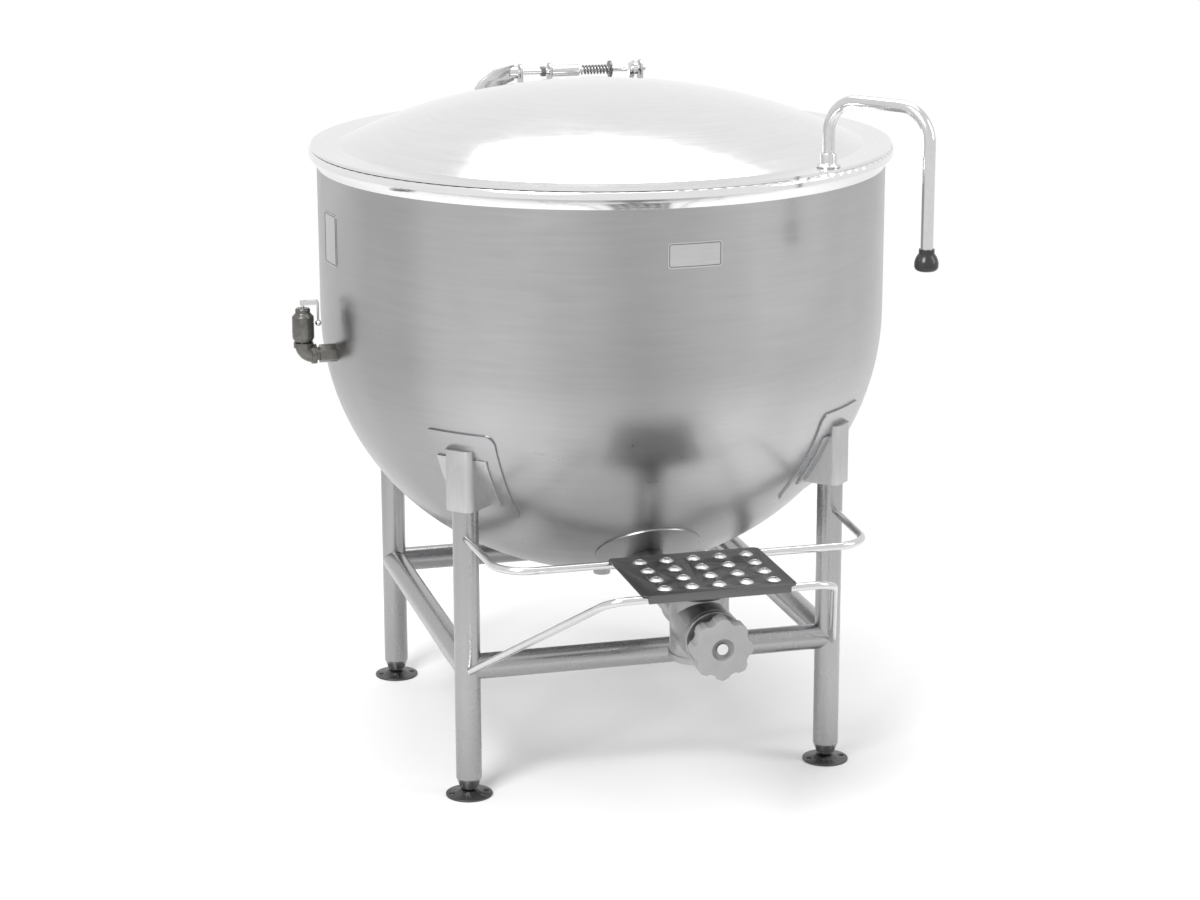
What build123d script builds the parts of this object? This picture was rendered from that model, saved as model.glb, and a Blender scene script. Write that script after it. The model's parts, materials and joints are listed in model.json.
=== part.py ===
from build123d import *
from math import asin, cos, degrees, pi, radians, sin, sqrt
import os

# Steam jacketed kettle on a tube stand. Millimetres, +Z up, front is -Y.
# The origin is on the floor, on the kettle's upright axis.

# kettle shells
jacket_radius = 465.0
jacket_wall = 3.0
bowl_equator_z = 725.0
jacket_bowl_depth = 440.0
steam_space = 40.0
steam_space_below = 58.0
kettle_radius = jacket_radius - steam_space
kettle_bowl_depth = jacket_bowl_depth - steam_space_below
kettle_wall = 4.0

# rim ring
rim_top_z = 995.0
rim_height = 29.0
rim_plate = 12.0
rim_overhang = 12.5
rim_edge_round = 5.0
rim_cove_out = 3.5
rim_cove_drop = 2.0
jacket_top_z = rim_top_z - rim_height
rim_radius = jacket_radius + rim_overhang

# lid
lid_gap = 0.5
lid_flange = 4.5
lid_wall = 2.5
lid_inset = 3.5
lid_dome_margin = 3.0
lid_dome_height = 93.0
lid_radius = rim_radius - lid_inset
lid_dome_radius = kettle_radius + lid_dome_margin

# lid handle, bent from tube
handle_tube_radius = 9.525
handle_tube_wall = 1.65
handle_azimuth = -53.7
handle_rise = 106.0
handle_reach = 183.0
handle_drop = 227.0
handle_bend = 52.0
handle_base_radius = 19.0
handle_base_plate = 3.0
handle_hub_radius = 13.0
handle_hub_height = 22.0
handle_knob_radius = 18.5
handle_knob_height = 34.0
handle_knob_socket = 14.0
handle_knob_toe = 8.0
handle_knob_band = 4.0
handle_knob_waist = 2.5
handle_knob_neck = 7.0

# stand
leg_spacing = 602.6
leg_radius = 20.65
leg_wall = 1.65
leg_bottom_z = 30.0
bar_z = 215.0
pad_thickness = 3.0
pad_width = 130.0
pad_bottom_z = 450.0
pad_top_z = 603.0
pad_corner = 16.0
bracket_sheet = 3.0
bracket_width = 50.0
bracket_bottom_z = 477.0
bracket_top_z = 575.0
bracket_fold = 13.0
bracket_rib_top_z = 560.0
bracket_rib_width = 20.0
bracket_gap = 0.5
bracket_reach_in = 100.0

# feet
foot_flange_radius = 37.5
foot_flange = 4.0
foot_cone_top_z = 10.0
foot_cone_radius = 22.0
foot_neck_radius = 13.0
foot_stem_radius = 8.0
foot_stem_top_z = 76.0
foot_hole_radius = 4.5
foot_hole_offset = 28.0
socket_nose_z = 14.0
socket_nose_radius = 14.5
socket_top_z = 82.0
running_fit = 0.05

# tray and its rods
rod_radius = 6.0
rod_z = 432.0
rear_rod_y = -510.0
rear_rod_splay = 4.0
rear_rod_tuck = 7.0
rear_rod_bend = 55.0
front_rod_y = -691.0
front_rod_half = 172.0
front_rod_bend = 40.0
front_rod_leg_z = 216.0
front_rod_stand_off = 2.0
tray_sheet = 1.5
tray_gap = 0.5
tray_middle_x = -6.0
tray_half_width = 119.5
tray_corner = 10.0
tray_lip = 11.0
tray_rear_lip = 8.0
bump_columns = 5
bump_rows = 4
bump_column_pitch = 42.0
bump_row_pitch = 45.0
bump_front_y = -672.0
bump_radius = 12.0
bump_top_radius = 6.0
bump_height = 4.5
bump_hole_radius = 4.0

# draw-off
drain_bore = 27.4
drain_wall = 2.75
drain_fall = 1.6
drain_start = -30.0
drain_step = 6.0
drain_reach = 15.0
collar_radius = 85.0
collar_thickness = 3.0
collar_rise = 14.0
neck_radius = 33.5
pot_radius = 43.0
pot_bore = 38.5
pot_top = 46.0
pot_top_wall = 6.0
pot_offset = 100.0
outlet_drop = 55.0
outlet_lip_radius = 44.5
outlet_lip = 10.0
outlet_bore = 36.0
outlet_ring = 18.0
seat_offset = 20.0
seat_thickness = 7.0
seat_bore = 24.0
barrel_radius = 45.0
barrel_bore = 40.0
barrel_length = 75.0
bonnet_flange = 12.0
bonnet_spigot = 8.0
bonnet_nose_radius = 17.0
bonnet_nose = 6.0
gland_depth = 12.0
gland_radius = 12.5
gland_nut_radius = 19.0
gland_nut_length = 8.0
plug_radius = 30.0
plug_thickness = 12.0
plug_bevel = 5.0
plug_hub = 4.0
plug_hub_length = 8.0
seal_outer_radius = 29.5
seal_inner_radius = 25.0
seal_thickness = 4.0
seal_gap = 0.3
stem_radius = 8.0
stem_seat = 4.0
knob_gap = 12.0
knob_hub = 2.0
knob_thickness = 26.0
knob_radius = 48.0
knob_lobes = 8
knob_lobe_radius = 9.0
knob_valley_radius = 12.0
knob_valley_out = 5.0
knob_web = 7.0
knob_recess_radius = 17.0
knob_recess = 9.0
knob_screw_head_radius = 8.5
knob_screw_head = 5.0
knob_screw_radius = 4.0
knob_screw_length = 22.0

# relief valve on the left side of the shell
relief_y = -60.0
relief_drop = 42.0
relief_offset = 45.0
relief_z = bowl_equator_z - relief_drop
relief_axis_x = -jacket_radius - relief_offset
relief_coupling_radius = 15.0
relief_coupling_length = 20.0
relief_thread = 14.0
relief_socket = 10.0
elbow_band = 8.0
elbow_band_step = 1.0
pipe_radius = 10.65
pipe_bore = 7.9
elbow_radius = 14.0
elbow_bend = 17.0
elbow_arm = 20.0
relief_body_radius = 17.5
relief_body_height = 42.0
relief_chamber_radius = 12.0
relief_floor = 9.0
relief_foot_bevel = 4.0
relief_foot_height = 8.0
relief_inlet_radius = 5.5
relief_port_radius = 5.0
relief_cap_radius = 12.0
relief_cap_height = 14.0
relief_cap_step = 6.0
relief_cap_edge = 2.0
relief_disc_radius = 9.0
relief_disc_thickness = 5.0
relief_stem_radius = 2.5
relief_stem_above_cap = 12.0
relief_spring_radius = 7.5
relief_spring_wire = 1.3
relief_spring_turns = 5
relief_lever_width = 7.0
relief_lever_sheet = 1.6
relief_pin_radius = 1.5
relief_pin_depth = 3.75
relief_lever_ball = 5.0
relief_lever_drop = 34.0
relief_lever_wire = 1.8
relief_lever_reach = 24.5
relief_lever_gap = 0.5
relief_lever_slot = 6.5

# couplings on the hidden side
steam_coupling_drop = 85.0
steam_coupling_z = bowl_equator_z - steam_coupling_drop
steam_coupling_radius = 20.5
steam_coupling_bore = 15.1
steam_port_radius = 13.0
steam_coupling_length = 38.0
condensate_radius = 14.5
condensate_bore = 9.2
condensate_port_radius = 8.0
condensate_length = 28.0
port_margin = 20.0

# plates on the shell
plate_sheet = 0.8
nameplate_x = 23.0
nameplate_drop = 72.0
nameplate_width = 87.0
nameplate_height = 40.0
plate_corner = 5.0
data_plate_azimuth = 187.0
data_plate_drop = 98.0
data_plate_width = 60.0
data_plate_height = 84.0

# hinge at the back
hinge_behind_rim = 22.5
hinge_above_rim = 51.0
hinge_y = rim_radius + hinge_behind_rim
hinge_z = rim_top_z + hinge_above_rim
shaft_radius = 5.0
shaft_left_x = -42.0
shaft_right_x = 216.0
ear_sheet = 4.0
ear_width = 30.0
ear_places = (-16.0, 38.0, 207.0)
shelf_above_rim = 19.0
shelf_sheet = 5.0
shelf_depth = 46.0
shelf_margin = 14.0
back_plate_below_rim = 95.0
back_plate_gap = 1.0
lug_width = 36.0
lug_height = 44.0
lug_reach = 60.0
arm_sheet = 5.0
arm_knuckle_radius = 11.0
arm_left_x = (-112.0, -22.0)
arm_left_toe = -91.0
arm_right_x = (160.0, 201.0)
arm_knuckle_length = 14.0
arm_foot_size = 13.0
arm_foot_height = 19.0
arm_toe_size = 10.0
arm_web_lift = 13.0
arm_web_height = 27.0
arm_web_toe = 16.0
arm_web_shoulder = 4.0
sleeve_x = (42.0, 92.0)
sleeve_radius = 10.0
spring_x = (97.0, 146.0)
spring_wire = 2.6
spring_turns = 8
spring_radius = 8.5
collar_disc_x = (148.0, 152.0)
collar_disc_radius = 15.0
nut_x = (22.0, 30.0)
nut_radius = 9.5

kettle_bottom_z = bowl_equator_z - kettle_bowl_depth
jacket_bottom_z = bowl_equator_z - jacket_bowl_depth
half_spacing = leg_spacing / 2
leg_reach = half_spacing * sqrt(2)
drain_radius = drain_bore + drain_wall
drain_axis_z = kettle_bottom_z + drain_bore - drain_step
neck_start = jacket_radius + drain_reach
pot_at = jacket_radius + pot_offset
valve_end = pot_at + barrel_length
lid_base_z = rim_top_z + lid_gap
lid_flange_top_z = lid_base_z + lid_flange
lid_flange_middle = (lid_radius + lid_dome_radius) / 2
shelf_z = rim_top_z + shelf_above_rim
back_plate_bottom_z = rim_top_z - back_plate_below_rim

# a dished head is two arcs, crown and knuckle, that meet on the hypotenuse of a 3-4-5 triangle
head_split = degrees(asin(3 / 5))

parts = {}


def head_arcs(radius, depth):
    """Crown and knuckle radii of a dished head of this radius and depth."""
    return 2 * radius - depth, (3 * depth - radius) / 2


def head_solid(grow, radius=jacket_radius, depth=jacket_bowl_depth):
    """Solid dished head below the equator, grown outwards by grow."""
    r = radius + grow
    low = bowl_equator_z - depth - grow
    crown, knuckle = head_arcs(r, depth + grow)
    outline = [
        CenterArc((0, low + crown), crown, start_angle=270, arc_size=head_split),
        CenterArc((r - knuckle, bowl_equator_z), knuckle, start_angle=270 + head_split,
                  arc_size=90 - head_split),
        Line((r, bowl_equator_z), (0, bowl_equator_z)),
        Line((0, bowl_equator_z), (0, low)),
    ]
    return revolve(Plane.XZ * make_face(outline), Axis.Z)


def bowl_solid(grow):
    """Solid jacket shape, grown outwards by grow: upright cylinder on the dished head."""
    upright = Cylinder(jacket_radius + grow, jacket_top_z - bowl_equator_z,
                       align=(Align.CENTER, Align.CENTER, Align.MIN))
    return head_solid(grow) + Pos(0, 0, bowl_equator_z) * upright


def ring_solid(points):
    """Solid of revolution about Z from (radius, z) points."""
    return revolve(Plane.XZ * make_face(Polyline(*points, close=True)), Axis.Z)


def rod(radius, start, end):
    """Round bar between two points."""
    path = Line(start, end)
    return sweep(Plane(origin=start, z_dir=path % 0) * Circle(radius), path=path)


def pipe(outer, inner, start, end):
    return rod(outer, start, end) - rod(inner, start, end)


def at_azimuth(angle):
    """Frame whose local X points outwards at this azimuth."""
    return Rot(0, 0, angle)


# openings that several shells share
drain_frame = Pos(0, 0, drain_axis_z) * Rot(drain_fall, 0, 0)


def drain_bar(radius, start, end):
    """Round bar on the draw-off axis, between two distances from the kettle axis."""
    return drain_frame * (Pos(0, -start, 0) * Rot(90, 0, 0) * Cylinder(
        radius, end - start, align=(Align.CENTER, Align.CENTER, Align.MIN)))


def kettle_hollow():
    return head_solid(0, kettle_radius, kettle_bowl_depth)


def course(inner, outer, top):
    """Upright course of a shell, from the equator up."""
    return ring_solid([(inner, bowl_equator_z), (outer, bowl_equator_z), (outer, top), (inner, top)])


def make_shells():
    head = head_solid(0) - head_solid(-jacket_wall) - drain_bar(drain_radius, kettle_radius / 4, neck_start)
    head -= rod(relief_inlet_radius, (-jacket_radius + port_margin, relief_y, relief_z),
                (-jacket_radius - port_margin, relief_y, relief_z))
    head -= rod(steam_port_radius, (0, jacket_radius - port_margin, steam_coupling_z),
                (0, jacket_radius + port_margin, steam_coupling_z))
    head -= rod(condensate_port_radius, (0, 0, jacket_bottom_z + port_margin),
                (0, 0, jacket_bottom_z - port_margin))
    parts["outer_jacket"] = [course(jacket_radius - jacket_wall, jacket_radius, jacket_top_z), head]
    rim_under_z = rim_top_z - rim_plate
    bowl = head_solid(kettle_wall, kettle_radius, kettle_bowl_depth) - kettle_hollow()
    bowl -= drain_bar(drain_radius, drain_start, kettle_radius)
    parts["inner_kettle"] = [course(kettle_radius, kettle_radius + kettle_wall, rim_under_z), bowl]
    skirt_in = jacket_radius - jacket_wall
    section = make_face([
        Line((kettle_radius, rim_under_z), (kettle_radius, rim_top_z)),
        Line((kettle_radius, rim_top_z), (rim_radius - rim_edge_round, rim_top_z)),
        RadiusArc((rim_radius - rim_edge_round, rim_top_z), (rim_radius, rim_top_z - rim_edge_round),
                  rim_edge_round),
        Line((rim_radius, rim_top_z - rim_edge_round), (rim_radius, rim_under_z)),
        ThreePointArc((rim_radius, rim_under_z),
                      (jacket_radius + rim_cove_out, (rim_under_z + jacket_top_z) / 2 - rim_cove_drop),
                      (jacket_radius, jacket_top_z)),
        Line((jacket_radius, jacket_top_z), (skirt_in, jacket_top_z)),
        Line((skirt_in, jacket_top_z), (skirt_in, rim_under_z)),
        Line((skirt_in, rim_under_z), (kettle_radius, rim_under_z)),
    ])
    parts["rim_ring"] = revolve(Plane.XZ * section, Axis.Z)


def shell_plate(azimuth, height, width, tall):
    """Thin plate that lies on the upright side of the jacket."""
    outline = RectangleRounded(width, tall, plate_corner)
    face = Plane(origin=(0, 0, height), x_dir=(0, 1, 0), z_dir=(1, 0, 0)) * outline
    prism = extrude(face, amount=jacket_radius + port_margin)
    skin = ring_solid([(jacket_radius, height - tall), (jacket_radius + plate_sheet, height - tall),
                       (jacket_radius + plate_sheet, height + tall), (jacket_radius, height + tall)])
    return at_azimuth(azimuth) * (skin & prism)


def make_plates():
    name_azimuth = -90 + nameplate_x / jacket_radius * 180 / pi
    parts["nameplate"] = shell_plate(
        name_azimuth, jacket_top_z - nameplate_drop, nameplate_width, nameplate_height)
    parts["data_plate"] = shell_plate(
        data_plate_azimuth, jacket_top_z - data_plate_drop, data_plate_width, data_plate_height)


corners = {"front_left": 225, "front_right": 315, "rear_right": 45, "rear_left": 135}


def corner_point(azimuth, z):
    return (leg_reach * cos(radians(azimuth)), leg_reach * sin(radians(azimuth)), z)


def make_leg_pad():
    """Pad on the bowl behind a leg, in the frame whose X points at the leg."""
    middle = (pad_top_z + pad_bottom_z) / 2
    face = Plane(origin=(0, 0, middle), x_dir=(0, 1, 0), z_dir=(1, 0, 0)) * RectangleRounded(
        pad_width, pad_top_z - pad_bottom_z, pad_corner)
    prism = extrude(face, amount=jacket_radius + port_margin)
    return (bowl_solid(pad_thickness) - bowl_solid(0)) & prism


def folded_profile(front, half):
    """Plan of the socket's fold, filled, with rounded corners at the front."""
    back = leg_reach - bracket_reach_in
    plan = Pos((front + back) / 2, 0) * Rectangle(front - back, 2 * half)
    return fillet(plan.vertices().group_by(Axis.X)[-1], bracket_fold - bracket_width / 2 + half)


def make_bracket():
    """Folded socket that holds a leg against its pad, in the same frame as the pad."""
    front = leg_reach + leg_radius + bracket_gap + bracket_sheet
    half = bracket_width / 2
    tall = bracket_top_z - bracket_bottom_z
    channel = extrude(folded_profile(front, half), amount=tall)
    inside = folded_profile(front - bracket_sheet, half - bracket_sheet)
    channel -= extrude(inside, amount=tall - bracket_sheet)
    channel = Pos(0, 0, bracket_bottom_z) * channel - bowl_solid(pad_thickness)
    rib_tall = bracket_rib_top_z - bracket_bottom_z
    rib_middle = half + bracket_rib_width / 2
    ribs = bowl_solid(pad_thickness + bracket_sheet) - bowl_solid(pad_thickness)
    strips = [Pos(leg_reach, side * rib_middle, bracket_bottom_z + rib_tall / 2) * Box(
        2 * bracket_reach_in, bracket_rib_width, rib_tall) for side in (-1, 1)]
    return channel + (ribs & (strips[0] + strips[1]))


def make_stand():
    pad = make_leg_pad()
    bracket = make_bracket()
    bowl = bowl_solid(pad_thickness)
    parts["leg_pads"] = [at_azimuth(angle) * pad for angle in corners.values()]
    for name, angle in corners.items():
        low = corner_point(angle, leg_bottom_z)
        high = corner_point(angle, bracket_top_z - bracket_sheet - bracket_gap)
        parts["leg_" + name] = pipe(leg_radius, leg_radius - leg_wall, low, high) - bowl
        parts["leg_bracket_" + name] = at_azimuth(angle) * bracket
    bars = {}
    ring = list(corners.values())
    for name, one, two in zip(("front", "right", "rear", "left"), ring, ring[1:] + ring[:1]):
        start = corner_point(one, bar_z)
        end = corner_point(two, bar_z)
        bar = pipe(leg_radius, leg_radius - leg_wall, start, end)
        for corner in (one, two):
            bar -= rod(leg_radius, corner_point(corner, leg_bottom_z), corner_point(corner, pad_top_z))
        bars[name] = (rod(leg_radius, start, end), bar)
    for name, (whole, bar) in bars.items():
        if name in ("left", "right"):
            bar -= bars["front"][0] + bars["rear"][0]
        parts["cross_bar_" + name] = bar


def make_feet():
    inside = leg_radius - leg_wall
    bore = foot_stem_radius + running_fit
    socket = ring_solid([(bore, socket_nose_z), (socket_nose_radius, socket_nose_z),
                         (leg_radius, leg_bottom_z), (inside, leg_bottom_z),
                         (inside, socket_top_z), (bore, socket_top_z)])
    foot = ring_solid([(0, 0), (foot_flange_radius, 0), (foot_flange_radius, foot_flange - 1),
                       (foot_cone_radius, foot_flange), (foot_neck_radius, foot_cone_top_z),
                       (foot_stem_radius, foot_cone_top_z), (foot_stem_radius, foot_stem_top_z),
                       (0, foot_stem_top_z)])
    for side in (-1, 1):
        foot -= Pos(side * foot_hole_offset, 0, 0) * Cylinder(foot_hole_radius, 4 * foot_flange)
    sockets = []
    for name, angle in corners.items():
        place = corner_point(angle, 0)
        sockets.append(Pos(*place) * socket)
        parts["foot_" + name] = Pos(*place) * foot
    parts["foot_sockets"] = sockets


def bent_rod(points, bend):
    path = FilletPolyline(*points, radius=bend)
    return sweep(Plane(origin=path @ 0, z_dir=path % 0) * Circle(rod_radius), path=path)


def make_tray():
    left = corners["front_left"]
    right = corners["front_right"]
    legs = [rod(leg_radius, corner_point(angle, leg_bottom_z), corner_point(angle, pad_top_z))
            for angle in (left, right)]
    root = half_spacing + rear_rod_splay
    turn = half_spacing - rear_rod_tuck
    rear = bent_rod([(-root, -half_spacing, rod_z), (-turn, rear_rod_y, rod_z),
                     (turn, rear_rod_y, rod_z), (root, -half_spacing, rod_z)], rear_rod_bend)
    foot_y = -half_spacing - leg_radius - rod_radius + front_rod_stand_off
    front = bent_rod([(-half_spacing, foot_y, front_rod_leg_z), (-front_rod_half, front_rod_y, rod_z),
                      (front_rod_half, front_rod_y, rod_z), (half_spacing, foot_y, front_rod_leg_z)],
                     front_rod_bend)
    parts["tray_rod_rear"] = rear - legs[0] - legs[1]
    bar = rod(leg_radius, corner_point(left, bar_z), corner_point(right, bar_z))
    parts["tray_rod_front"] = front - legs[0] - legs[1] - bar
    low = rod_z + rod_radius
    front_y = front_rod_y - rod_radius - tray_gap - tray_sheet
    rear_y = rear_rod_y + rod_radius + tray_gap + tray_sheet
    plate = Pos(tray_middle_x, (front_y + rear_y) / 2) * RectangleRounded(
        2 * tray_half_width, rear_y - front_y, tray_corner)
    tray = extrude(Pos(0, 0, low) * plate, amount=tray_sheet)
    for edge_y, tall in ((front_y + tray_sheet / 2, tray_lip), (rear_y - tray_sheet / 2, tray_rear_lip)):
        tray += Pos(tray_middle_x, edge_y, low - tall / 2) * Box(
            2 * (tray_half_width - tray_corner), tray_sheet, tall)
    bump = Cone(bump_radius, bump_top_radius, bump_height, align=(Align.CENTER, Align.CENTER, Align.MIN))
    hole = Cylinder(bump_hole_radius, 4 * bump_height)
    top = low + tray_sheet
    for column in range(bump_columns):
        for row in range(bump_rows):
            x = (column - (bump_columns - 1) / 2) * bump_column_pitch
            y = bump_front_y + row * bump_row_pitch
            tray += Pos(x, y, top) * bump
            tray -= Pos(x, y, top) * hole
    parts["drip_tray"] = tray


def drain_section(points):
    """Turned piece on the draw-off axis from (radius, distance) points."""
    face = make_face(Polyline(*[(r, -s) for r, s in points], close=True))
    return drain_frame * revolve(face, Axis.Y)


def make_collar():
    """Ring pad on the bowl round the draw-off tube, square to the crown of the head."""
    crown = head_arcs(jacket_radius, jacket_bowl_depth)[0]
    centre_z = jacket_bottom_z + crown
    height = drain_axis_z + collar_rise
    reach = sqrt(crown ** 2 - (centre_z - height) ** 2)
    facing = Plane(origin=(0, -reach, height), z_dir=(0, -reach, height - centre_z))
    disc = extrude(facing * Circle(collar_radius), amount=collar_radius, both=True)
    collar = (bowl_solid(collar_thickness) - bowl_solid(0)) & disc
    parts["draw_off_collar"] = collar - drain_bar(drain_radius, 0, neck_start)


def upright_bar(radius, low, high):
    """Round bar on the outlet's axis, between two heights from the draw-off axis."""
    return drain_frame * (Pos(0, -pot_at, low) * Cylinder(
        radius, high - low, align=(Align.CENTER, Align.CENTER, Align.MIN)))


def make_valve_body():
    seat_end = pot_at - seat_offset
    hollow = upright_bar(pot_bore, outlet_ring - outlet_drop, pot_top - pot_top_wall)
    hollow += drain_bar(barrel_bore, pot_at, valve_end)
    hollow -= drain_bar(neck_radius, neck_start, seat_end)
    hollow += upright_bar(outlet_bore, -outlet_drop, outlet_ring - outlet_drop)
    hollow += drain_bar(drain_bore, neck_start, seat_end - seat_thickness)
    hollow += drain_bar(seat_bore, seat_end - seat_thickness, seat_end)
    body = upright_bar(pot_radius, -outlet_drop, pot_top)
    body += upright_bar(outlet_lip_radius, -outlet_drop, outlet_lip - outlet_drop)
    body += drain_bar(barrel_radius, pot_at, valve_end)
    body += drain_bar(neck_radius, neck_start, seat_end)
    parts["valve_body"] = body - hollow
    return seat_end


def make_plug(seat_end):
    start = seat_end + seal_gap
    seal_end = start + seal_thickness
    end = start + plug_thickness
    bore = stem_radius + running_fit
    hub = stem_radius + plug_hub
    parts["draw_off_plug"] = drain_section([
        (0, start), (seal_inner_radius, start), (seal_inner_radius, seal_end), (plug_radius, seal_end),
        (plug_radius, end - plug_bevel), (plug_radius - plug_bevel, end), (hub, end),
        (hub, end + plug_hub_length), (bore, end + plug_hub_length), (bore, end - stem_seat),
        (0, end - stem_seat)])
    parts["plug_seal"] = drain_section([
        (seal_inner_radius, start), (seal_outer_radius, start), (seal_outer_radius, seal_end),
        (seal_inner_radius, seal_end)])
    return end - stem_seat + seal_gap


def make_bonnet():
    bore = stem_radius + running_fit
    flange_end = valve_end + bonnet_flange
    nose_end = flange_end + bonnet_nose
    gland_start = nose_end - gland_depth
    parts["valve_bonnet"] = drain_section([
        (bore, valve_end - bonnet_spigot), (barrel_bore, valve_end - bonnet_spigot), (barrel_bore, valve_end),
        (barrel_radius, valve_end), (barrel_radius, flange_end), (bonnet_nose_radius, flange_end),
        (bonnet_nose_radius, nose_end), (gland_radius, nose_end), (gland_radius, gland_start),
        (bore, gland_start)])
    parts["gland_packing"] = drain_section([
        (bore, gland_start), (gland_radius, gland_start), (gland_radius, nose_end), (bore, nose_end)])
    nut_end = nose_end + gland_nut_length
    nut = extrude(Plane.XZ * RegularPolygon(gland_nut_radius, 6), amount=gland_nut_length)
    nut = drain_frame * (Pos(0, -nose_end, 0) * nut)
    parts["gland_nut"] = nut - drain_bar(bore, nose_end, nut_end)
    return nose_end + knob_gap


def make_wheel(stem_start, knob_start):
    knob_end = knob_start + knob_thickness
    recess_start = knob_end - knob_recess
    stem = drain_bar(stem_radius, stem_start, recess_start)
    parts["valve_stem"] = stem - drain_bar(knob_screw_radius, recess_start - knob_screw_length, recess_start)
    lobe_at = knob_radius - knob_lobe_radius
    star = Circle(lobe_at + knob_web)
    for index in range(knob_lobes):
        turn = 2 * pi * index / knob_lobes
        star += Pos(lobe_at * cos(turn), lobe_at * sin(turn)) * Circle(knob_lobe_radius)
    for index in range(knob_lobes):
        turn = 2 * pi * (index + 0.5) / knob_lobes
        valley_at = knob_radius + knob_valley_out
        star -= Pos(valley_at * cos(turn), valley_at * sin(turn)) * Circle(knob_valley_radius)
    knob = extrude(Plane.XZ * star, amount=knob_thickness)
    knob = drain_frame * (Pos(0, -knob_start, 0) * knob)
    knob += drain_bar(bonnet_nose_radius, knob_start - knob_hub, knob_start)
    knob -= drain_bar(knob_recess_radius, recess_start, knob_end)
    knob -= drain_bar(stem_radius, knob_start - knob_hub, recess_start)
    parts["valve_knob"] = knob
    head = drain_bar(knob_screw_head_radius, recess_start, recess_start + knob_screw_head)
    shank_start = recess_start - knob_screw_length + seal_gap
    parts["knob_screw"] = head + drain_bar(knob_screw_radius, shank_start, recess_start)


def make_draw_off():
    tube = drain_bar(drain_radius, drain_start, neck_start)
    tube -= drain_bar(drain_bore, drain_start + drain_wall, neck_start)
    parts["draw_off_tube"] = tube - kettle_hollow()
    make_collar()
    seat_end = make_valve_body()
    stem_start = make_plug(seat_end)
    knob_start = make_bonnet()
    make_wheel(stem_start, knob_start)


def coil(radius, wire, turns, length):
    """Closed wire coil along +Z from the origin, centred on its own wire ends."""
    path = Helix(pitch=length / turns, height=length, radius=radius)
    start = Plane(origin=path @ 0, z_dir=path % 0)
    return sweep(start * Circle(wire), path=path, is_frenet=True)


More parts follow.
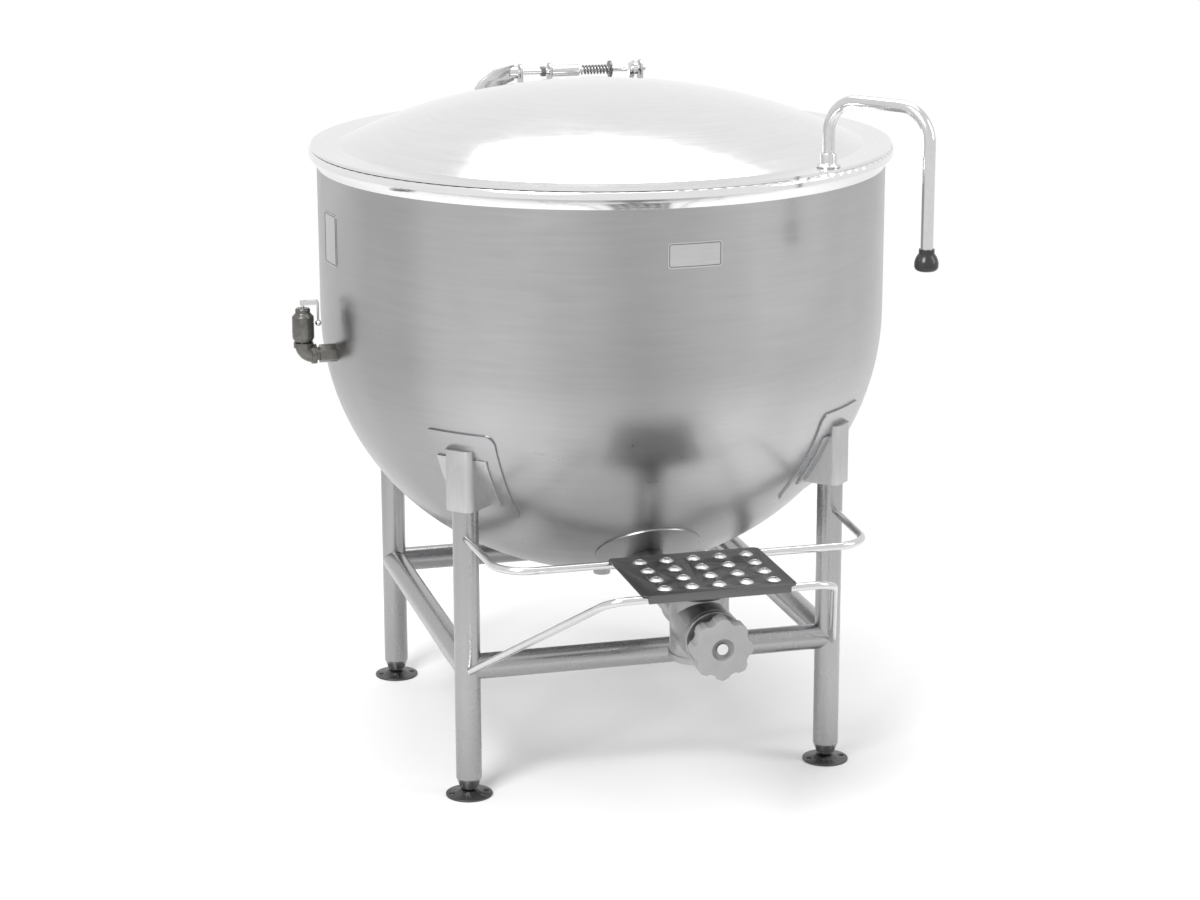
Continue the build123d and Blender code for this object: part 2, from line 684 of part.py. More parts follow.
def make_relief_valve():
    coupling_start = -jacket_radius
    coupling_end = coupling_start - relief_coupling_length
    inside_x = coupling_start + port_margin
    facing = Plane(origin=(inside_x, relief_y, relief_z), z_dir=(-1, 0, 0))
    coupling = extrude(facing * RegularPolygon(relief_coupling_radius, 6), amount=inside_x - coupling_end)
    coupling -= bowl_solid(0)
    thread_x = coupling_end + relief_thread
    coupling -= rod(pipe_radius, (thread_x, relief_y, relief_z), (coupling_end, relief_y, relief_z))
    coupling -= rod(relief_inlet_radius, (inside_x, relief_y, relief_z), (coupling_end, relief_y, relief_z))
    parts["relief_coupling"] = coupling
    elbow_in = relief_axis_x + elbow_arm
    socket_x = elbow_in - relief_socket
    parts["relief_nipple"] = pipe(pipe_radius, pipe_bore, (thread_x, relief_y, relief_z),
                                  (socket_x, relief_y, relief_z))
    elbow_top = relief_z + elbow_arm
    heel = (relief_axis_x + elbow_bend, relief_y, relief_z)
    bend_axis = Axis((heel[0], relief_y, relief_z + elbow_bend), (0, 1, 0))
    across = Plane(origin=heel, z_dir=(1, 0, 0))
    band = relief_coupling_radius + elbow_band_step
    inlet = (elbow_in, relief_y, relief_z)
    outlet = (relief_axis_x, relief_y, elbow_top)
    elbow = revolve(across * Circle(elbow_radius), bend_axis, 90)
    elbow += rod(band, inlet, (elbow_in - elbow_band, relief_y, relief_z))
    elbow += rod(band, (relief_axis_x, relief_y, elbow_top - elbow_band), outlet)
    elbow -= revolve(across * Circle(pipe_bore), bend_axis, 90)
    elbow -= rod(pipe_bore, inlet, heel)
    elbow -= rod(pipe_bore, (relief_axis_x, relief_y, relief_z + elbow_bend), outlet)
    elbow -= rod(pipe_radius, inlet, (socket_x, relief_y, relief_z))
    parts["relief_elbow"] = elbow
    place = Pos(relief_axis_x, relief_y, elbow_top)
    body_top = relief_body_height
    body = ring_solid([(relief_inlet_radius, 0), (relief_body_radius - relief_foot_bevel, 0),
                       (relief_body_radius, relief_foot_height), (relief_body_radius, body_top),
                       (relief_chamber_radius, body_top), (relief_chamber_radius, relief_floor),
                       (relief_inlet_radius, relief_floor)])
    body -= rod(relief_port_radius, (0, 0, body_top / 2), (-2 * relief_body_radius, 0, body_top / 2))
    parts["relief_body"] = place * body
    cap_bore = relief_stem_radius + running_fit
    cap_top = body_top + relief_cap_height
    cap = ring_solid([(cap_bore, body_top), (relief_body_radius, body_top),
                      (relief_cap_radius, body_top + relief_cap_step),
                      (relief_cap_radius, cap_top - relief_cap_edge),
                      (relief_cap_radius - relief_cap_edge, cap_top), (cap_bore, cap_top)])
    parts["relief_cap"] = place * cap
    disc_low = relief_floor + seal_gap
    disc_top = disc_low + relief_disc_thickness
    stem_top = cap_top + relief_stem_above_cap
    disc = ring_solid([(0, disc_low), (relief_disc_radius, disc_low), (relief_disc_radius, disc_top),
                       (relief_stem_radius, disc_top), (relief_stem_radius, stem_top), (0, stem_top)])
    pin_z = stem_top - relief_pin_depth
    pin_hole = relief_pin_radius + running_fit
    disc -= rod(pin_hole, (0, -relief_cap_radius, pin_z), (0, relief_cap_radius, pin_z))
    parts["relief_disc"] = place * disc
    ends = relief_spring_wire + seal_gap
    spring = coil(relief_spring_radius - relief_spring_wire, relief_spring_wire, relief_spring_turns,
                  body_top - disc_top - 2 * ends)
    parts["relief_spring"] = place * (Pos(0, 0, disc_top + ends) * spring)
    cheek = relief_stem_radius + relief_lever_gap
    lever_half = cheek + relief_lever_sheet
    reach = relief_lever_reach
    ball_z = pin_z - relief_lever_drop
    tail = relief_lever_width / 2
    lever = Pos((reach - tail) / 2, 0, pin_z) * Box(reach + tail, 2 * lever_half, relief_lever_width)
    slot_long = relief_lever_slot + 2 * tail
    lever -= Pos(relief_lever_slot - slot_long / 2, 0, pin_z) * Box(
        slot_long, 2 * cheek, 2 * relief_lever_width)
    lever += rod(relief_lever_wire, (reach, 0, pin_z), (reach, 0, ball_z))
    lever += Pos(reach, 0, ball_z) * Sphere(relief_lever_ball)
    lever -= rod(relief_pin_radius, (0, -2 * lever_half, pin_z), (0, 2 * lever_half, pin_z))
    parts["relief_lever"] = place * lever
    parts["lever_pin"] = place * rod(relief_pin_radius, (0, -lever_half, pin_z), (0, lever_half, pin_z))


def make_couplings():
    inside = (0, jacket_radius - port_margin, steam_coupling_z)
    seat = (0, jacket_radius, steam_coupling_z)
    mouth = (0, jacket_radius + steam_coupling_length, steam_coupling_z)
    inlet = rod(steam_coupling_radius, inside, mouth) - bowl_solid(0)
    inlet -= rod(steam_port_radius, inside, seat)
    parts["steam_inlet"] = inlet - rod(steam_coupling_bore, seat, mouth)
    inside = (0, 0, jacket_bottom_z + port_margin)
    seat = (0, 0, jacket_bottom_z)
    mouth = (0, 0, jacket_bottom_z - condensate_length)
    outlet = rod(condensate_radius, inside, mouth) - bowl_solid(0)
    outlet -= rod(condensate_port_radius, inside, seat)
    parts["condensate_outlet"] = outlet - rod(condensate_bore, seat, mouth)


def make_lid():
    top = lid_flange_top_z + lid_dome_height
    dome_radius = (lid_dome_radius ** 2 + lid_dome_height ** 2) / (2 * lid_dome_height)
    centre_z = top - dome_radius
    inner_dome = dome_radius - lid_wall
    inner_foot = sqrt(inner_dome ** 2 - (lid_base_z - centre_z) ** 2)
    half_out = lid_dome_radius / 2
    half_in = inner_foot / 2
    section = make_face([
        Line((inner_foot, lid_base_z), (lid_radius, lid_base_z)),
        Line((lid_radius, lid_base_z), (lid_radius, lid_flange_top_z)),
        Line((lid_radius, lid_flange_top_z), (lid_dome_radius, lid_flange_top_z)),
        ThreePointArc((lid_dome_radius, lid_flange_top_z),
                      (half_out, centre_z + sqrt(dome_radius ** 2 - half_out ** 2)), (0, top)),
        Line((0, top), (0, top - lid_wall)),
        ThreePointArc((0, top - lid_wall), (half_in, centre_z + sqrt(inner_dome ** 2 - half_in ** 2)),
                      (inner_foot, lid_base_z)),
    ])
    lid = revolve(Plane.XZ * section, Axis.Z)
    parts["lid_cover"] = lid
    low = lid_flange_top_z
    high = low + handle_rise
    frame = at_azimuth(handle_azimuth) * Pos(lid_flange_middle, 0, 0)
    socket = low + handle_base_plate
    end_z = high - handle_drop
    path = FilletPolyline((0, 0, socket), (0, 0, high), (handle_reach, 0, high), (handle_reach, 0, end_z),
                          radius=handle_bend)
    across = Plane(origin=path @ 0, z_dir=path % 0)
    outer = sweep(across * Circle(handle_tube_radius), path=path)
    bore = sweep(across * Circle(handle_tube_radius - handle_tube_wall), path=path)
    parts["lid_handle"] = frame * (outer - bore)
    base = ring_solid([(0, low), (handle_base_radius, low), (handle_base_radius, socket),
                       (handle_hub_radius, socket + handle_base_plate),
                       (handle_hub_radius, low + handle_hub_height),
                       (handle_tube_radius, low + handle_hub_height),
                       (handle_tube_radius, socket), (0, socket)])
    parts["handle_base"] = frame * base
    knob_low = end_z + handle_knob_socket - handle_knob_height
    knob_high = knob_low + handle_knob_height
    waist = handle_tube_radius + handle_knob_waist
    toe = handle_knob_radius - handle_knob_toe
    band_low = knob_low + handle_knob_toe
    band_high = band_low + handle_knob_band
    neck_low = knob_high - handle_knob_neck
    swell = (handle_knob_radius + waist) / 2
    swell_z = (band_high + neck_low) / 2
    shape = make_face([
        Line((0, knob_low), (toe, knob_low)),
        RadiusArc((toe, knob_low), (handle_knob_radius, band_low), -handle_knob_toe),
        Line((handle_knob_radius, band_low), (handle_knob_radius, band_high)),
        ThreePointArc((handle_knob_radius, band_high), (swell + 1, swell_z + 1), (waist, neck_low)),
        Line((waist, neck_low), (waist, knob_high)),
        Line((waist, knob_high), (handle_tube_radius, knob_high)),
        Line((handle_tube_radius, knob_high), (handle_tube_radius, end_z)),
        Line((handle_tube_radius, end_z), (0, end_z)),
        Line((0, end_z), (0, knob_low)),
    ])
    parts["handle_knob"] = frame * (Pos(handle_reach, 0, 0) * revolve(Plane.XZ * shape, Axis.Z))


def hinge_bar(radius, start, end):
    return rod(radius, (start, hinge_y, hinge_z), (end, hinge_y, hinge_z))


def arm_foot(size, x, y):
    return Pos(x, y, lid_flange_top_z) * Box(
        size, size, arm_foot_height, align=(Align.CENTER, Align.CENTER, Align.MIN))


def make_arm(left, right):
    """Lid arm: upright web from its foot on the lid flange back to a knuckle on the hinge shaft."""
    knuckle_start = right - arm_knuckle_length
    foot_y = sqrt(lid_flange_middle ** 2 - left ** 2)
    run = Line((left, foot_y, 0), ((knuckle_start + right) / 2, hinge_y, 0))
    along = run % 0
    web_face = Plane(origin=run @ 0, x_dir=along, z_dir=along.cross(Vector(0, 0, 1)))
    low = lid_flange_top_z + arm_web_lift
    high = hinge_z + arm_web_height / 2
    outline = Polyline((0, low), (run.length, high - arm_web_height), (run.length, high),
                       (run.length / 2, high - arm_web_shoulder), (run.length / 8, low + arm_web_height),
                       (0, low + arm_web_toe), close=True)
    arm = extrude(web_face * make_face(outline), amount=arm_sheet / 2, both=True)
    arm += hinge_bar(arm_knuckle_radius, knuckle_start, right)
    arm += arm_foot(arm_foot_size, left, foot_y)
    bore = hinge_bar(shaft_radius + running_fit, left - arm_foot_size, right + arm_foot_size)
    return arm - bore, run


def make_hinge():
    ear_high = hinge_z - shelf_z - shelf_sheet
    left = ear_places[0] - shelf_margin
    right = ear_places[-1] + shelf_margin
    middle = (left + right) / 2
    front = rim_radius + back_plate_gap
    shelf = Pos(middle, front + shelf_depth / 2, shelf_z + shelf_sheet / 2) * Box(
        right - left, shelf_depth, shelf_sheet)
    back = Pos(middle, front + shelf_sheet / 2, (shelf_z + back_plate_bottom_z) / 2) * Box(
        right - left, shelf_sheet, shelf_z - back_plate_bottom_z)
    bracket = shelf + back
    for place in (left + lug_width / 2, right - lug_width / 2):
        lug = Pos(place, front - lug_reach / 2, back_plate_bottom_z + lug_height / 2) * Box(
            lug_width, lug_reach, lug_height)
        bracket += lug - bowl_solid(0)
    for place in ear_places:
        outline = Pos(hinge_y, shelf_z + shelf_sheet) * Rectangle(
            ear_width, ear_high, align=(Align.CENTER, Align.MIN))
        outline += Pos(hinge_y, hinge_z) * Circle(ear_width / 2)
        ear = extrude(Plane.YZ.offset(place - ear_sheet / 2) * outline, amount=ear_sheet)
        bracket += ear
    parts["hinge_bracket"] = bracket - hinge_bar(shaft_radius, left - shelf_margin, right + shelf_margin)
    parts["hinge_shaft"] = hinge_bar(shaft_radius, shaft_left_x, shaft_right_x)
    arm, run = make_arm(*arm_left_x)
    share = (arm_left_toe - arm_left_x[0]) / ((run @ 1).X - (run @ 0).X)
    parts["lid_arm_left"] = arm + arm_foot(arm_toe_size, arm_left_toe, (run @ share).Y)
    parts["lid_arm_right"] = make_arm(*arm_right_x)[0]
    for name, (start, end), radius in (("shaft_sleeve", sleeve_x, sleeve_radius),
                                       ("spring_collar", collar_disc_x, collar_disc_radius)):
        parts[name] = hinge_bar(radius, start, end) - hinge_bar(shaft_radius, start, end)
    start, end = nut_x
    nut = extrude(Plane.YZ.offset(start) * (Pos(hinge_y, hinge_z) * RegularPolygon(nut_radius, 6)),
                  amount=end - start)
    parts["adjusting_nut"] = nut - hinge_bar(shaft_radius, start, end)
    start, end = spring_x
    spring = coil(spring_radius - spring_wire / 2, spring_wire / 2, spring_turns, end - start - spring_wire)
    place = Pos(start + spring_wire / 2, hinge_y, hinge_z) * Rot(0, 90, 0)
    parts["assist_spring"] = place * spring


def write_parts():
    os.makedirs("parts", exist_ok=True)
    for name, shape in parts.items():
        solids = shape if isinstance(shape, list) else [shape]
        group = Compound(children=[Compound(children=list(solid.solids())) for solid in solids])
        export_step(group if len(group.solids()) > 1 else group.solids()[0], "parts/" + name + ".step")


make_shells()
make_plates()
make_stand()
make_feet()
make_tray()
make_draw_off()
make_relief_valve()
make_couplings()
make_lid()
make_hinge()
write_parts()
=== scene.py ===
import json
from math import radians

import bpy
from mathutils import Matrix, Vector


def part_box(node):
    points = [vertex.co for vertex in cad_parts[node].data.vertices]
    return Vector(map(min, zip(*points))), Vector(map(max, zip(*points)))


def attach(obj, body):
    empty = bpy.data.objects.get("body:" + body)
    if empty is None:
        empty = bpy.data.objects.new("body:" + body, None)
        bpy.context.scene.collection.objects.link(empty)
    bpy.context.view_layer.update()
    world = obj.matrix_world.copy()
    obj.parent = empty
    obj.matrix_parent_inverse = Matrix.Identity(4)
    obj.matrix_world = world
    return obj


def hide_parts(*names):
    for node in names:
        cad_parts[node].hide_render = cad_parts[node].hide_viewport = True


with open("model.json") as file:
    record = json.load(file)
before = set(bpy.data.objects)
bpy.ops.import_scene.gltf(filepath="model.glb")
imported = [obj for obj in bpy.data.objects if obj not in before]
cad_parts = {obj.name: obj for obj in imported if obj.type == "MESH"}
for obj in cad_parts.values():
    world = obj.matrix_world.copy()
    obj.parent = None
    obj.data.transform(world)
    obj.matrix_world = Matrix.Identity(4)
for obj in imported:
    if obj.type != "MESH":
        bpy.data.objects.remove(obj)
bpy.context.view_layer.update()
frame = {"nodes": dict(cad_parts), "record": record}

bpy.context.scene.view_settings.view_transform = "Standard"
nodes = frame["nodes"]
print("frame loaded:", len(nodes), "nodes")


def nothingSelected():
    if bpy.context.object and bpy.context.object.mode != "OBJECT":
        bpy.ops.object.mode_set(mode="OBJECT")
    bpy.ops.object.select_all(action="DESELECT")


def takeUp(piece):
    nothingSelected()
    piece.select_set(True)
    bpy.context.view_layer.objects.active = piece


def applyAll(piece):
    takeUp(piece)
    for modifier in list(piece.modifiers):
        bpy.ops.object.modifier_apply(modifier=modifier.name)


def finishPiece(piece, material, body, smoothAngle=35, replaced=()):
    takeUp(piece)
    bpy.ops.object.shade_smooth_by_angle(angle=radians(smoothAngle))
    piece.data.materials.clear()
    piece.data.materials.append(material)
    if replaced:
        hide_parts(*replaced)
    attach(piece, body)
    return piece


cameraPlace = dict(
    location=(-1.23828, -4.64024, 1.75057),
    heading=-14.91,
    down=14.9,
    roll=-0.13,
    lens=88.49,
)


def addCamera():
    data = bpy.data.cameras.new("studioCamera")
    data.sensor_fit = "HORIZONTAL"
    data.sensor_width = 36.0
    data.lens = cameraPlace["lens"]
    data.clip_end = 60
    camera = bpy.data.objects.new("studioCamera", data)
    bpy.context.scene.collection.objects.link(camera)
    heading = Matrix.Rotation(radians(cameraPlace["heading"]), 4, "Z")
    tilt = Matrix.Rotation(radians(90 - cameraPlace["down"]), 4, "X")
    roll = Matrix.Rotation(radians(cameraPlace["roll"]), 4, "Z")
    camera.matrix_world = Matrix.Translation(cameraPlace["location"]) @ heading @ tilt @ roll
    bpy.context.scene.camera = camera


addCamera()


class Nodes:
    # a short hand for building one material's node tree
    def __init__(self, name):
        self.material = bpy.data.materials.new(name)
        self.material.use_nodes = True
        self.tree = self.material.node_tree
        self.shader = self.tree.nodes["Principled BSDF"]
        self.coords = self.tree.nodes.new("ShaderNodeTexCoord").outputs["Object"]

    def node(self, kind, **settings):
        made = self.tree.nodes.new("ShaderNode" + kind)
        for key, value in settings.items():
            setattr(made, key, value)
        return made

    def link(self, start, end):
        self.tree.links.new(start, end)

    def stretched(self, scale):
        # object coordinates, scaled by axis
        mapping = self.node("Mapping")
        mapping.inputs["Scale"].default_value = scale
        self.link(self.coords, mapping.inputs["Vector"])
        return mapping.outputs["Vector"]

    def ringed(self, around, along):
        # grain that runs round the upright axis: slow round it, fast along it
        split = self.node("SeparateXYZ")
        self.link(self.coords, split.inputs[0])
        flat = self.node("CombineXYZ")
        self.link(split.outputs["X"], flat.inputs["X"])
        self.link(split.outputs["Y"], flat.inputs["Y"])
        length = self.node("VectorMath", operation="LENGTH")
        self.link(flat.outputs[0], length.inputs[0])
        unit = self.node("VectorMath", operation="NORMALIZE")
        self.link(flat.outputs[0], unit.inputs[0])
        grow = self.node("VectorMath", operation="SCALE")
        grow.inputs["Scale"].default_value = around
        self.link(unit.outputs[0], grow.inputs[0])
        ring = self.node("SeparateXYZ")
        self.link(grow.outputs[0], ring.inputs[0])
        fine = self.node("Math", operation="ADD")
        self.link(split.outputs["Z"], fine.inputs[0])
        self.link(length.outputs["Value"], fine.inputs[1])
        tall = self.node("Math", operation="MULTIPLY")
        tall.inputs[1].default_value = along
        self.link(fine.outputs[0], tall.inputs[0])
        joined = self.node("CombineXYZ")
        self.link(ring.outputs["X"], joined.inputs["X"])
        self.link(ring.outputs["Y"], joined.inputs["Y"])
        self.link(tall.outputs[0], joined.inputs["Z"])
        return joined.outputs[0]

    def noise(self, vector, scale, detail=3.0, rough=0.55):
        noise = self.node("TexNoise")
        noise.inputs["Scale"].default_value = scale
        noise.inputs["Detail"].default_value = detail
        noise.inputs["Roughness"].default_value = rough
        self.link(vector, noise.inputs["Vector"])
        return noise.outputs["Fac"]

    def ranged(self, value, low, high, fromLow=0.25, fromHigh=0.75):
        spread = self.node("MapRange")
        spread.inputs["From Min"].default_value = fromLow
        spread.inputs["From Max"].default_value = fromHigh
        spread.inputs["To Min"].default_value = low
        spread.inputs["To Max"].default_value = high
        self.link(value, spread.inputs["Value"])
        return spread.outputs["Result"]

    def added(self, one, two):
        total = self.node("Math", operation="ADD")
        self.link(one, total.inputs[0])
        self.link(two, total.inputs[1])
        return total.outputs[0]

    def blend(self, factor, dark, light):
        mix = self.node("Mix", data_type="RGBA")
        mix.inputs["A"].default_value = (*dark, 1)
        mix.inputs["B"].default_value = (*light, 1)
        self.link(factor, mix.inputs["Factor"])
        return mix.outputs["Result"]

    def scaled(self, tone, factor):
        grow = self.node("VectorMath", operation="SCALE")
        self.link(tone, grow.inputs[0])
        self.link(factor, grow.inputs["Scale"])
        return grow.outputs[0]

    def step(self, level):
        # 0 below a height, 1 above it
        split = self.node("SeparateXYZ")
        self.link(self.coords, split.inputs[0])
        return self.ranged(split.outputs["Z"], 0, 1, level - 0.0004, level + 0.0004)

    # mixes a painted highlight colour over the tone where the factor is 1
    def joined(self, factor, tone, paintedHighlight):
        mix = self.node("Mix", data_type="RGBA")
        self.link(factor, mix.inputs["Factor"])
        self.link(tone, mix.inputs["A"])
        mix.inputs["B"].default_value = (*paintedHighlight, 1)
        return mix.outputs["Result"]

    def bump(self, height, strength, distance):
        bump = self.node("Bump")
        bump.inputs["Strength"].default_value = strength
        bump.inputs["Distance"].default_value = distance
        self.link(height, bump.inputs["Height"])
        self.link(bump.outputs["Normal"], self.shader.inputs["Normal"])


def brushedMetal(name, tint, roughness, grain, blotch=0.06, bump=0.08, ringed=False, anisotropy=0.0,
                 paintedReflectionBands=0.0, paintedHighlightAbove=None):
    # grain is (x, y, z) stretch, or (around, along) when it runs round the kettle
    made = Nodes(name)
    if ringed:
        lines = made.noise(made.ringed(*grain), 1.0, 2.0, 0.5)
    else:
        lines = made.noise(made.stretched(grain), 1.0, 4.0, 0.6)
    cloud = made.noise(made.coords, 5.0, 3.0, 0.5)
    smudge = made.noise(made.coords, 22.0, 4.0, 0.6)
    dark = tuple(channel * (1 - blotch) for channel in tint)
    light = tuple(min(1.0, channel * (1 + blotch)) for channel in tint)
    tone = made.blend(made.ranged(made.added(lines, cloud), 0, 1, 0.7, 1.3), dark, light)
    if paintedReflectionBands:
        # broad upright light and dark bands, a painted reflection of the surroundings round a large shell
        paintedBandNoise = made.noise(made.stretched((3.1, 3.1, 0.9)), 1.0, 2.0, 0.4)
        tone = made.scaled(tone, made.ranged(paintedBandNoise, 1 - paintedReflectionBands, 1 + paintedReflectionBands, 0.35, 0.65))
    # above a given height the tone turns to a painted highlight
    if paintedHighlightAbove:
        level, paintedHighlight = paintedHighlightAbove
        tone = made.joined(made.step(level), tone, paintedHighlight)
    made.link(tone, made.shader.inputs["Base Color"])
    worn = made.ranged(smudge, roughness - 0.03, roughness + 0.03)
    rough = made.added(made.ranged(lines, -0.015, 0.015), worn)
    made.link(rough, made.shader.inputs["Roughness"])
    made.shader.inputs["Metallic"].default_value = 1.0
    made.shader.inputs["Anisotropic"].default_value = anisotropy
    if anisotropy:
        tangent = made.node("Tangent", direction_type="RADIAL", axis="Z")
        made.link(tangent.outputs[0], made.shader.inputs["Tangent"])
    made.bump(lines, bump, 0.0004)
    return made.material


def mouldedPlastic(name, tint, roughness, speck):
    made = Nodes(name)
    grain = made.noise(made.coords, 900.0, 2.0, 0.5)
    cloud = made.noise(made.coords, 40.0, 3.0, 0.5)
    dark = tuple(channel * (1 - speck) for channel in tint)
    light = tuple(channel * (1 + speck) for channel in tint)
    tone = made.blend(made.ranged(cloud, 0, 1), dark, light)
    made.link(tone, made.shader.inputs["Base Color"])
    made.link(made.ranged(cloud, roughness - 0.08, roughness + 0.08), made.shader.inputs["Roughness"])
    made.bump(grain, 0.12, 0.0003)
    return made.material


finishes = dict(
    # the shell carries broad upright bands of painted reflection
    shell=brushedMetal("satinShell", (0.37, 0.37, 0.375), 0.30, (4.0, 140.0), 0.035, 0.006, True, 0.0,
                       paintedReflectionBands=0.22),
    inside=brushedMetal("kettleInside", (0.60, 0.60, 0.605), 0.26, (4.0, 160.0), 0.04, 0.008, True, 0.0),
    polished=brushedMetal("polishedRim", (0.78, 0.78, 0.785), 0.12, (4.0, 260.0), 0.03, 0.008, True),
    lid=brushedMetal("polishedLid", (0.74, 0.74, 0.745), 0.12, (3.0, 220.0), 0.03, 0.006, True),
    tube=brushedMetal("legTube", (0.36, 0.36, 0.365), 0.28, (90.0, 90.0, 5.0), 0.03, 0.01),
    barAcross=brushedMetal("barTubeAcross", (0.34, 0.34, 0.345), 0.27, (5.0, 90.0, 90.0), 0.03, 0.01),
    barDeep=brushedMetal("barTubeDeep", (0.34, 0.34, 0.345), 0.27, (90.0, 5.0, 90.0), 0.03, 0.01),
    bracket=brushedMetal("bracketSheet", (0.47, 0.47, 0.475), 0.38, (150.0, 150.0, 30.0), 0.08, 0.08),
    foot=brushedMetal("footMetal", (0.10, 0.10, 0.102), 0.38, (200.0, 200.0, 200.0), 0.15, 0.08),
    rod=brushedMetal("brightRod", (0.62, 0.62, 0.625), 0.15, (120.0, 120.0, 120.0), 0.05, 0.03),
    # the dark tray tint is painted shade under the kettle; above the bump-top height the colour is a painted
    # highlight
    tray=brushedMetal("traySheet", (0.13, 0.13, 0.132), 0.30, (300.0, 20.0, 300.0), 0.12, 0.06,
                      paintedHighlightAbove=(0.4402, (0.66, 0.66, 0.665))),
    plate=brushedMetal("plateMetal", (0.50, 0.50, 0.505), 0.34, (30.0, 300.0, 300.0), 0.06, 0.06),
    cast=brushedMetal("castValve", (0.33, 0.33, 0.335), 0.34, (90.0, 90.0, 90.0), 0.10, 0.10),
    outline=brushedMetal("plateBorder", (0.16, 0.16, 0.165), 0.40, (300.0, 300.0, 300.0), 0.10, 0.05),
    bronze=brushedMetal("agedBronze", (0.16, 0.155, 0.145), 0.30, (140.0, 140.0, 140.0), 0.25, 0.15),
    spring=brushedMetal("springSteel", (0.16, 0.16, 0.165), 0.28, (200.0, 200.0, 200.0), 0.15, 0.05),
    greyKnob=mouldedPlastic("greyPhenolic", (0.28, 0.28, 0.28), 0.45, 0.06),
    blackKnob=mouldedPlastic("blackPhenolic", (0.02, 0.02, 0.02), 0.25, 0.2),
    seal=mouldedPlastic("sealRubber", (0.05, 0.05, 0.05), 0.6, 0.2),
)

slotFinish = dict(
    satin_shell="shell", kettle_inside="inside", polished_rim="polished", leg_tube="tube", foot_metal="foot",
    bright_rod="rod", tray_sheet="tray", plate="plate", cast_valve="cast", grey_knob="greyKnob",
    black_knob="blackKnob", seal_rubber="seal", bronze="bronze", spring_steel="spring",
)


nodeFinish = dict(
    lid_cover="lid", cross_bar_front="barAcross", cross_bar_rear="barAcross", cross_bar_left="barDeep",
    cross_bar_right="barDeep",
    leg_bracket_front_left="bracket", leg_bracket_front_right="bracket", leg_bracket_rear_left="bracket",
    leg_bracket_rear_right="bracket",
)


def finishOf(entry):
    return finishes[nodeFinish.get(entry["node"], slotFinish[entry["material_slot"]])]


def dressFrameNodes():
    for entry in frame["record"]["subparts"]:
        node = nodes[entry["node"]]
        node.data.materials.clear()
        node.data.materials.append(finishOf(entry))
        takeUp(node)
        bpy.ops.object.shade_smooth_by_angle(angle=radians(30))


dressFrameNodes()
print("finishes on the frame")


# bevel width in metres for each frame node whose edges the hand would feel rounded
softEdges = dict(
    valve_knob=0.0022, gland_nut=0.0008, valve_bonnet=0.0015, valve_body=0.0012, adjusting_nut=0.0006,
    hinge_bracket=0.0008, lid_arm_left=0.0010, lid_arm_right=0.0010, shaft_sleeve=0.0008,
    spring_collar=0.0006,
    relief_body=0.0008, relief_cap=0.0006, relief_elbow=0.0010, relief_coupling=0.0010, drip_tray=0.0004,
    foot_front_left=0.0010, foot_front_right=0.0010, foot_rear_left=0.0010, foot_rear_right=0.0010,
    leg_bracket_front_left=0.0010, leg_bracket_front_right=0.0010, leg_bracket_rear_left=0.0010,
    leg_bracket_rear_right=0.0010, handle_base=0.0010, draw_off_collar=0.0010, relief_lever=0.0004,
)

bodyOf = {node: body for body, names in frame["record"]["behaviour"]["bodies"].items() for node in names}
entryOf = {entry["node"]: entry for entry in frame["record"]["subparts"]}


def softenedCopy(name, width):
    takeUp(nodes[name])
    bpy.ops.object.duplicate()
    piece = bpy.context.object
    piece.name = name + "Soft"
    piece.parent = None
    for key in list(piece.keys()):
        del piece[key]
    bpy.ops.object.mode_set(mode="EDIT")
    bpy.ops.mesh.select_all(action="SELECT")
    bpy.ops.mesh.remove_doubles(threshold=0.000004)
    bpy.ops.mesh.dissolve_limited(angle_limit=radians(0.6))
    bpy.ops.mesh.normals_make_consistent(inside=False)
    bpy.ops.object.mode_set(mode="OBJECT")
    edge = piece.modifiers.new("edge", "BEVEL")
    edge.width = width
    edge.segments = 3
    edge.limit_method = "ANGLE"
    edge.angle_limit = radians(38)
    edge.use_clamp_overlap = True
    applyAll(piece)
    finishPiece(piece, finishOf(entryOf[name]), bodyOf[name], 40, [name])
    return piece


for nodeName, width in softEdges.items():
    softenedCopy(nodeName, width)
print("softened pieces:", len(softEdges))


plateBorder = dict(
    nameplate=dict(inset=0.0022, width=0.0011, rise=0.0004, turn=(90, 0, 0), along="Y"),
    data_plate=dict(inset=0.0022, width=0.0012, rise=0.0004, turn=(90, 0, -90), along="X"),
)


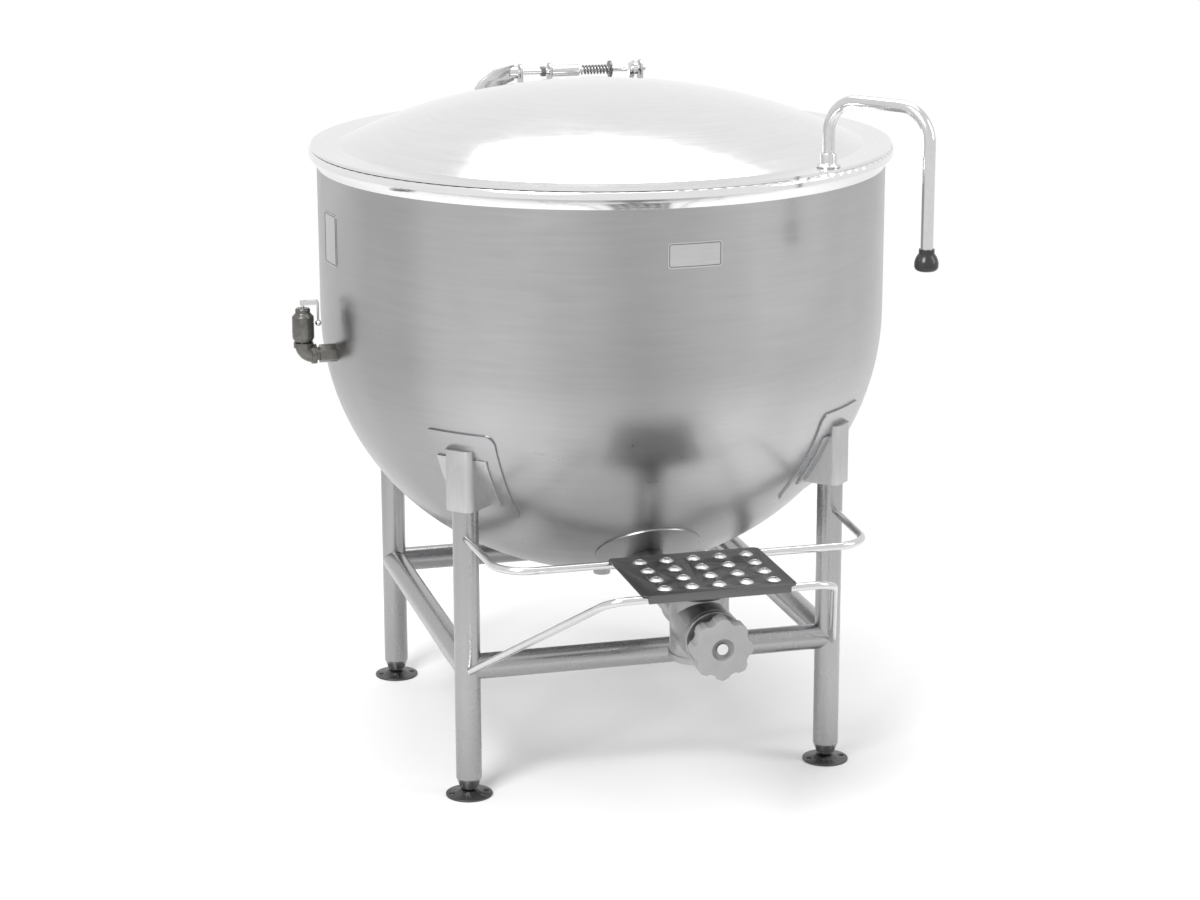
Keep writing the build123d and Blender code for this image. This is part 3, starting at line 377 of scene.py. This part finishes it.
def plateEdge(name, size):
    # a thin ring of sheet, laid on the face of its plate by projection
    low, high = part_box(name)
    middle = (low + high) / 2
    wide = max(high.x - low.x, high.y - low.y) - 2 * size["inset"]
    tall = high.z - low.z - 2 * size["inset"]
    outwards = low - Vector((0.004, 0.004, 0))
    place = (middle.x, outwards.y, middle.z) if size["along"] == "Y" else (outwards.x, middle.y, middle.z)
    nothingSelected()
    bpy.ops.mesh.primitive_plane_add(size=1, location=place, rotation=[radians(a) for a in size["turn"]])
    ring = bpy.context.object
    ring.name = name + "Border"
    ring.scale = (wide, tall, 1)
    bpy.ops.object.transform_apply(location=True, rotation=True, scale=True)
    bpy.ops.object.mode_set(mode="EDIT")
    bpy.ops.mesh.select_all(action="SELECT")
    bpy.ops.mesh.bevel(offset=0.003, segments=5, affect="VERTICES")
    bpy.ops.mesh.select_all(action="SELECT")
    bpy.ops.mesh.inset(thickness=size["width"])
    bpy.ops.mesh.delete(type="FACE")
    bpy.ops.mesh.select_all(action="SELECT")
    bpy.ops.mesh.subdivide(number_cuts=7)
    bpy.ops.object.mode_set(mode="OBJECT")
    lay = ring.modifiers.new("lay", "SHRINKWRAP")
    lay.wrap_method = "PROJECT"
    lay.target = nodes[name]
    lay.use_project_y = size["along"] == "Y"
    lay.use_project_x = size["along"] == "X"
    lay.use_project_z = False
    lay.use_positive_direction = True
    lay.use_negative_direction = False
    thick = ring.modifiers.new("thick", "SOLIDIFY")
    thick.thickness = size["rise"]
    thick.offset = 1
    applyAll(ring)
    finishPiece(ring, finishes["outline"], "kettle", 40)


for plateName, size in plateBorder.items():
    plateEdge(plateName, size)
print("plate borders")


studio = dict(
    floorSize=40.0,
    floorTone=(0.88, 0.88, 0.88),
    fadeStart=0.9,
    fadeEnd=2.4,
    keyPower=150.0,
    fillPower=30.0,
    topPower=60.0,
    worldTone=0.72,
)


def seenPath(tree):
    # 1 for what the camera, a reflection or a clear surface shows
    path = tree.nodes.new("ShaderNodeLightPath")
    glossy = tree.nodes.new("ShaderNodeMath")
    glossy.operation = "ADD"
    tree.links.new(path.outputs["Is Camera Ray"], glossy.inputs[0])
    tree.links.new(path.outputs["Is Glossy Ray"], glossy.inputs[1])
    seen = tree.nodes.new("ShaderNodeMath")
    seen.operation = "ADD"
    seen.use_clamp = True
    tree.links.new(glossy.outputs[0], seen.inputs[0])
    tree.links.new(path.outputs["Is Transmission Ray"], seen.inputs[1])
    return seen.outputs[0]


def addFloor():
    nothingSelected()
    bpy.ops.mesh.primitive_plane_add(size=studio["floorSize"], location=(0, 0, 0))
    floor = bpy.context.object
    floor.name = "studioFloor"
    made = Nodes("floorPaper")
    cloud = made.noise(made.coords, 1.5, 2.0, 0.5)
    tone = studio["floorTone"]
    made.link(made.blend(cloud, tuple(c * 0.985 for c in tone), tone), made.shader.inputs["Base Color"])
    made.shader.inputs["Roughness"].default_value = 0.9
    # the paper goes over into the white background away from the object
    away = made.node("VectorMath", operation="LENGTH")
    made.link(made.coords, away.inputs[0])
    fade = made.ranged(away.outputs["Value"], 0, 1, studio["fadeStart"], studio["fadeEnd"])
    white = made.node("Emission")
    share = made.node("Math", operation="MULTIPLY")
    made.link(fade, share.inputs[0])
    made.link(seenPath(made.tree), share.inputs[1])
    mix = made.node("MixShader")
    made.link(share.outputs[0], mix.inputs[0])
    made.link(made.shader.outputs[0], mix.inputs[1])
    made.link(white.outputs[0], mix.inputs[2])
    made.link(mix.outputs[0], made.tree.nodes["Material Output"].inputs["Surface"])
    floor.data.materials.append(made.material)


def addWorld():
    world = bpy.data.worlds.new("studioWorld")
    bpy.context.scene.world = world
    world.use_nodes = True
    tree = world.node_tree
    mix = tree.nodes.new("ShaderNodeMix")
    mix.data_type = "RGBA"
    tone = studio["worldTone"]
    mix.inputs["A"].default_value = (tone, tone, tone, 1)
    mix.inputs["B"].default_value = (1, 1, 1, 1)
    tree.links.new(seenPath(tree), mix.inputs["Factor"])
    tree.links.new(mix.outputs["Result"], tree.nodes["Background"].inputs["Color"])


def softBox(name, place, aim, size, power):
    data = bpy.data.lights.new(name, "AREA")
    data.shape = "RECTANGLE"
    data.size, data.size_y = size
    data.energy = power
    lamp = bpy.data.objects.new(name, data)
    bpy.context.scene.collection.objects.link(lamp)
    lamp.location = place
    lamp.rotation_euler = (Vector(aim) - Vector(place)).to_track_quat("-Z", "Y").to_euler()
    return lamp


addFloor()
addWorld()
softBox("keyLight", (-2.4, -2.6, 3.2), (0, 0, 0.6), (1.6, 2.2), studio["keyPower"])
softBox("fillLight", (2.8, -1.8, 2.2), (0, 0, 0.6), (1.2, 2.2), studio["fillPower"])
softBox("topLight", (0.3, 0.6, 3.4), (0, 0, 0.8), (2.4, 2.4), studio["topPower"])
print("studio ready")
